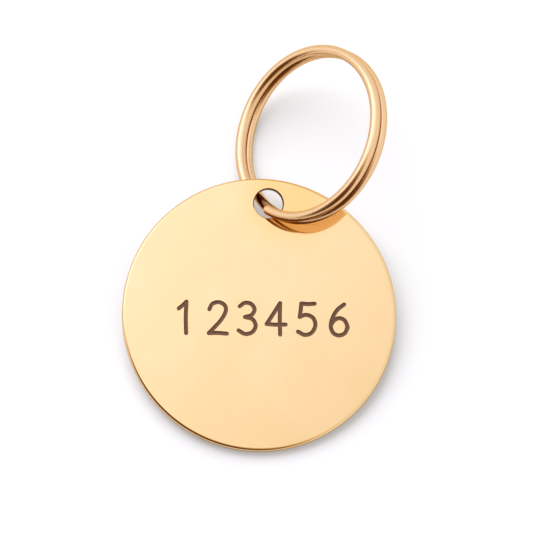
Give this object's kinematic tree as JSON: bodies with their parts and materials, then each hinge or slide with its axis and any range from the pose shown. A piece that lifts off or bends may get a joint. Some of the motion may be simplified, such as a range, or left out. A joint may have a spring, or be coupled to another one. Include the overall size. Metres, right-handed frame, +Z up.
{
  "type": "pet id tag",
  "caption": "Round polished metal pet tag with a rounded rim, engraved numbers and one hole near its edge, which holds a round-wire split ring that hooks onto a collar.",
  "frame": {"origin": "middle of the bottom of the part's box, on the table that the tag lies on", "axes": "+Y from the middle of the disc towards its hole and the split ring, +Z up from the table through the engraved face, +X to the right as the numbers are read"},
  "size_m": [0.03, 0.0444, 0.0147],
  "materials": {
    "disc_gold": "mirror polished, gold coloured",
    "ring_gold": "polished drawn wire, gold coloured"
  },
  "bodies": {
    "tag": {"tag_disc": "disc_gold"},
    "ring": {"split_ring": "ring_gold"}
  },
  "joints": [
    {"name": "ring_swing", "type": "hinge", "parent": "tag", "child": "ring", "pos_m": [-0.00013, 0.00511, 0.00347], "axis": [-0.7093, -0.7031, -0.0495], "range_deg": [0, 85]}
  ]
}
